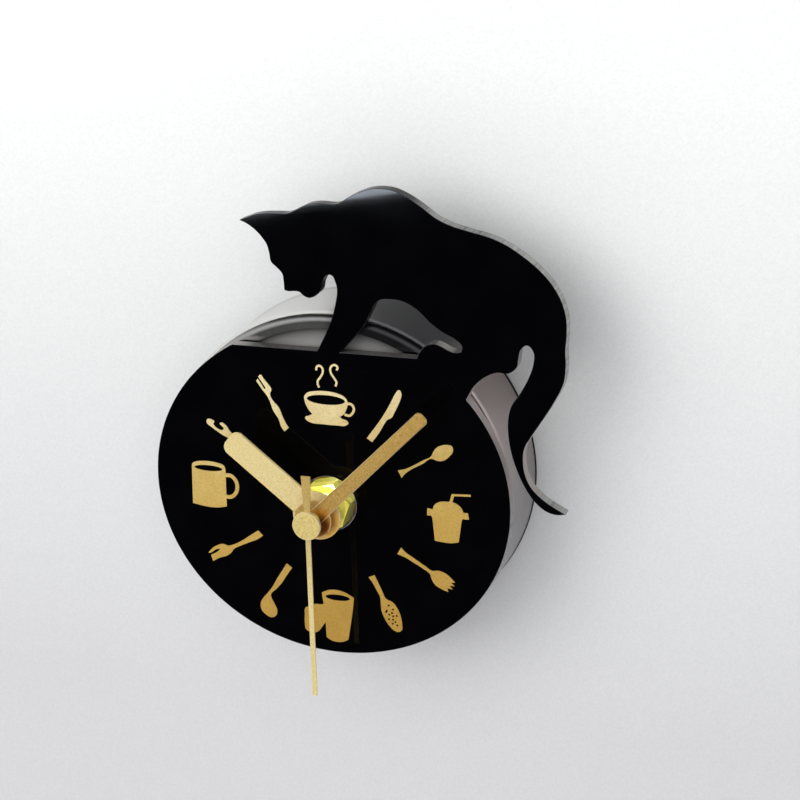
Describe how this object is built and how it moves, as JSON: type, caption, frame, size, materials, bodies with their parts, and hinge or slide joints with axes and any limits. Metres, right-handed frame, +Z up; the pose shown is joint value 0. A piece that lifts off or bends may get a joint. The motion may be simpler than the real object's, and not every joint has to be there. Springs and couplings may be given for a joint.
{
  "type": "novelty wall clock",
  "caption": "Magnetic wall clock: a flat black cat and fishbowl panel with gold kitchen markers and hands, on a round tin that holds a battery quartz movement.",
  "frame": {"origin": "centre of the round tin on the magnets' rear face, where the clock rests on a steel door", "axes": "+X to the viewer's right, +Y into the door, +Z up; the dial faces -Y"},
  "size_m": [0.1034, 0.0426, 0.1215],
  "materials": {
    "acrylic": "polished black acrylic, satin laser-cut edges",
    "gold_print": "satin gold ink",
    "foam": "closed-cell foam",
    "tin": "satin tin plate",
    "black_abs": "moulded, fine texture",
    "magnet_plate": "nickel plate",
    "case_plastic": "moulded, fine texture",
    "screw_steel": "zinc plate",
    "gasket_rubber": "matt",
    "nut_brass": "turned, bright",
    "washer_steel": "turned",
    "hand_gold": "satin champagne gold, fine grain",
    "wheel_acetal": "natural acetal",
    "rotor_ferrite": "sintered",
    "stator_iron": "annealed lamination",
    "bobbin_plastic": "moulded",
    "copper_wire": "enamelled copper wire",
    "board_green": "solder mask",
    "contact_steel": "nickel plate",
    "cell_steel": "nickel-plated can",
    "cell_sleeve": "printed film sleeve, no lettering"
  },
  "bodies": {
    "clock": {"front_panel": "acrylic", "dial_print": "gold_print", "mounting_pad": "foam", "tin_case": "tin", "back_plate": "black_abs", "magnets": "magnet_plate", "movement_front": "case_plastic", "movement_back": "case_plastic", "case_screws": "screw_steel", "case_gasket": "gasket_rubber", "shaft_bush": "nut_brass", "dial_washer": "washer_steel", "hex_nut": "nut_brass", "stator": "stator_iron", "coil_bobbin": "bobbin_plastic", "coil_winding": "copper_wire", "circuit_board": "board_green", "crystal": "screw_steel", "chip": "black_abs", "plus_contact": "contact_steel", "minus_contact": "contact_steel"},
    "seconds": {"second_hand": "hand_gold", "second_cap": "hand_gold", "seconds_wheel": "wheel_acetal"},
    "rotor": {"rotor_pinion": "wheel_acetal", "rotor_magnet": "rotor_ferrite"},
    "middle": {"middle_wheel": "wheel_acetal"},
    "third": {"third_wheel": "wheel_acetal"},
    "centre": {"centre_wheel": "wheel_acetal"},
    "minutes": {"minute_hand": "hand_gold", "minute_pipe": "nut_brass"},
    "hours": {"hour_hand": "hand_gold", "hour_wheel": "wheel_acetal"},
    "motion": {"motion_wheel": "wheel_acetal"},
    "knob": {"setting_knob": "black_abs"},
    "cell": {"battery": "cell_steel", "battery_sleeve": "cell_sleeve"}
  },
  "joints": [
    {"name": "second_hand_spin", "type": "hinge", "parent": "clock", "child": "seconds", "pos_m": [0.0001, -0.041, -0.0022], "axis": [0, 1, 0], "continuous": true},
    {"name": "middle_wheel_spin", "type": "hinge", "parent": "clock", "child": "middle", "pos_m": [0.00478, -0.01, 0.00591], "axis": [0, 1, 0], "continuous": true},
    {"name": "rotor_spin", "type": "hinge", "parent": "clock", "child": "rotor", "pos_m": [0.01205, -0.01, 0.01011], "axis": [0, 1, 0], "continuous": true},
    {"name": "third_wheel_spin", "type": "hinge", "parent": "clock", "child": "third", "pos_m": [-0.00639, -0.0136, 0.00429], "axis": [0, 1, 0], "continuous": true},
    {"name": "centre_wheel_spin", "type": "hinge", "parent": "clock", "child": "centre", "pos_m": [0.0001, -0.015, -0.0022], "axis": [0, 1, 0], "continuous": true},
    {"name": "minute_hand_spin", "type": "hinge", "parent": "clock", "child": "minutes", "pos_m": [0.0001, -0.038, -0.0022], "axis": [0, 1, 0], "continuous": true},
    {"name": "motion_wheel_spin", "type": "hinge", "parent": "clock", "child": "motion", "pos_m": [0.00799, -0.017, -0.00507], "axis": [0, 1, 0], "continuous": true},
    {"name": "hour_hand_spin", "type": "hinge", "parent": "clock", "child": "hours", "pos_m": [0.0001, -0.0354, -0.0022], "axis": [0, 1, 0], "continuous": true},
    {"name": "setting_knob_spin", "type": "hinge", "parent": "clock", "child": "knob", "pos_m": [0.01557, -0.003, -0.0007], "axis": [0, 1, 0], "continuous": true},
    {"name": "battery_slide", "type": "slide", "parent": "clock", "child": "cell", "axis": [0, 1, 0], "range_m": [0, 0.03]}
  ],
  "couplings": [
    {"joint": "middle_wheel_spin", "follows": "second_hand_spin", "ratio": -5},
    {"joint": "rotor_spin", "follows": "second_hand_spin", "ratio": 30},
    {"joint": "third_wheel_spin", "follows": "second_hand_spin", "ratio": -0.13333},
    {"joint": "centre_wheel_spin", "follows": "second_hand_spin", "ratio": 0.016667},
    {"joint": "motion_wheel_spin", "follows": "minute_hand_spin", "ratio": -0.33333},
    {"joint": "hour_hand_spin", "follows": "minute_hand_spin", "ratio": 0.083333},
    {"joint": "setting_knob_spin", "follows": "minute_hand_spin", "ratio": 0.85714}
  ]
}
